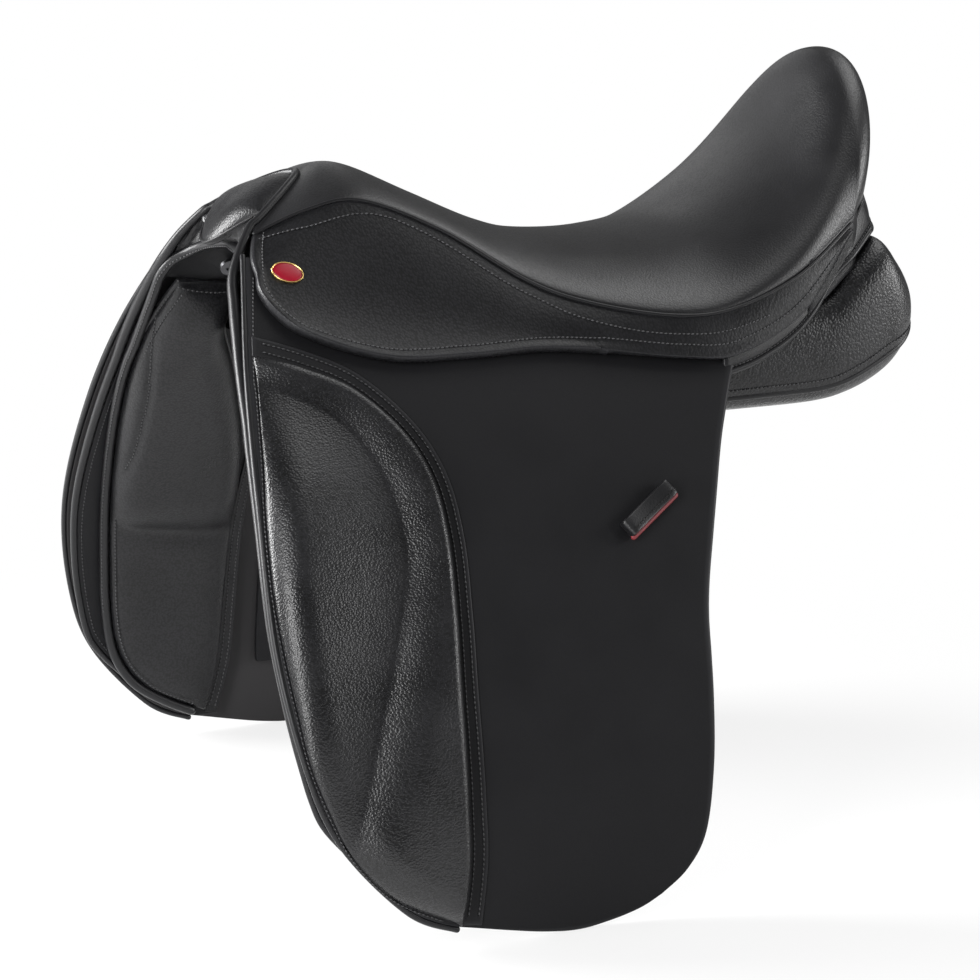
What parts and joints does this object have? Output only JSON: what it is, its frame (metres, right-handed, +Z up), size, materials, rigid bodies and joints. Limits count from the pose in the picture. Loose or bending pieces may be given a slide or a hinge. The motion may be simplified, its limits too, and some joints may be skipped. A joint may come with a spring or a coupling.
{
  "type": "dressage saddle",
  "caption": "English dressage saddle with a deep padded seat, long straight flaps with knee pads, lifting skirts, stirrup bars and girth straps.",
  "frame": {"origin": "on the centre plane, at the height of the bearing plane under the rear panels, below the deepest part of the seat", "axes": "+X to the horse's left, +Y to the rear (cantle), +Z up"},
  "size_m": [0.521, 0.5076, 0.5056],
  "materials": {
    "flap_leather": "matte",
    "seat_leather": "satin",
    "grain_leather": "pebbled, satin",
    "panel_leather": "pebbled leather over flocking",
    "red_leather": "satin",
    "steel": "satin",
    "tree_polymer": "matte",
    "foam": "matte",
    "webbing": "woven",
    "gold": "polished",
    "enamel": "gloss"
  },
  "bodies": {
    "saddle": {"tree": "tree_polymer", "tree_head": "tree_polymer", "gullet_plate": "steel", "left_stirrup_bar": "steel", "right_stirrup_bar": "steel", "bar_rivets": "steel", "seat_webbing": "webbing", "seat_foam": "foam", "seat_cover": "seat_leather", "seat_welts": "seat_leather", "left_skirt": "flap_leather", "right_skirt": "flap_leather", "badges": "gold", "badge_enamels": "enamel", "left_flap_top": "flap_leather", "right_flap_top": "flap_leather", "left_top_roll": "seat_leather", "right_top_roll": "seat_leather", "left_sweat_flap": "flap_leather", "right_sweat_flap": "flap_leather", "left_sweat_roll": "seat_leather", "right_sweat_roll": "seat_leather", "left_front_panel": "panel_leather", "right_front_panel": "panel_leather", "left_panel": "panel_leather", "right_panel": "panel_leather", "left_panel_roll": "seat_leather", "right_panel_roll": "seat_leather", "panel_front_roll": "seat_leather", "panel_arch": "flap_leather", "panel_studs": "steel", "pommel_facing": "seat_leather", "cantle_facing": "seat_leather", "left_girth_web": "webbing", "right_girth_web": "webbing"},
    "left_flap_body": {"left_flap": "flap_leather", "left_flap_roll": "seat_leather", "left_knee_pad": "grain_leather", "left_keeper": "flap_leather", "left_keeper_lining": "red_leather"},
    "left_skirt_body": {"left_skirt_lobe": "flap_leather"},
    "left_catch_body": {"left_bar_catch": "steel"},
    "left_front_strap_body": {"left_front_strap": "flap_leather"},
    "left_rear_strap_body": {"left_rear_strap": "flap_leather"},
    "right_flap_body": {"right_flap": "flap_leather", "right_flap_roll": "seat_leather", "right_knee_pad": "grain_leather", "right_keeper": "flap_leather", "right_keeper_lining": "red_leather"},
    "right_skirt_body": {"right_skirt_lobe": "flap_leather"},
    "right_catch_body": {"right_bar_catch": "steel"},
    "right_front_strap_body": {"right_front_strap": "flap_leather"},
    "right_rear_strap_body": {"right_rear_strap": "flap_leather"}
  },
  "joints": [
    {"name": "left_flap_lift", "type": "hinge", "parent": "saddle", "child": "left_flap_body", "pos_m": [0.13376, -0.067, 0.0365], "axis": [-0.0438, -0.9976, 0.0534], "range_deg": [0, 75]},
    {"name": "left_skirt_lift", "type": "hinge", "parent": "saddle", "child": "left_skirt_body", "pos_m": [0.1101, -0.0905, 0.07492], "axis": [-0.1865, -0.9616, 0.2014], "range_deg": [0, 60]},
    {"name": "left_catch_turn", "type": "hinge", "parent": "saddle", "child": "left_catch_body", "pos_m": [0.074, -0.079, 0.084], "axis": [1, 0, 0], "range_deg": [0, 80]},
    {"name": "left_front_strap_swing", "type": "hinge", "parent": "saddle", "child": "left_front_strap_body", "pos_m": [0.1173, -0.07, 0.04208], "axis": [0.7594, 0, 0.6506], "range_deg": [-5, 3]},
    {"name": "left_rear_strap_swing", "type": "hinge", "parent": "saddle", "child": "left_rear_strap_body", "pos_m": [0.1173, -0.006, 0.04208], "axis": [0.7594, 0, 0.6506], "range_deg": [-3, 6]},
    {"name": "right_flap_lift", "type": "hinge", "parent": "saddle", "child": "right_flap_body", "pos_m": [-0.13376, -0.067, 0.0365], "axis": [-0.0438, 0.9976, -0.0534], "range_deg": [0, 75]},
    {"name": "right_skirt_lift", "type": "hinge", "parent": "saddle", "child": "right_skirt_body", "pos_m": [-0.1101, -0.0905, 0.07492], "axis": [-0.1865, 0.9616, -0.2014], "range_deg": [0, 60]},
    {"name": "right_catch_turn", "type": "hinge", "parent": "saddle", "child": "right_catch_body", "pos_m": [-0.074, -0.079, 0.084], "axis": [1, 0, 0], "range_deg": [0, 80]},
    {"name": "right_front_strap_swing", "type": "hinge", "parent": "saddle", "child": "right_front_strap_body", "pos_m": [-0.1173, -0.07, 0.04208], "axis": [0.7594, 0, -0.6506], "range_deg": [-5, 3]},
    {"name": "right_rear_strap_swing", "type": "hinge", "parent": "saddle", "child": "right_rear_strap_body", "pos_m": [-0.1173, -0.006, 0.04208], "axis": [0.7594, 0, -0.6506], "range_deg": [-3, 6]}
  ]
}
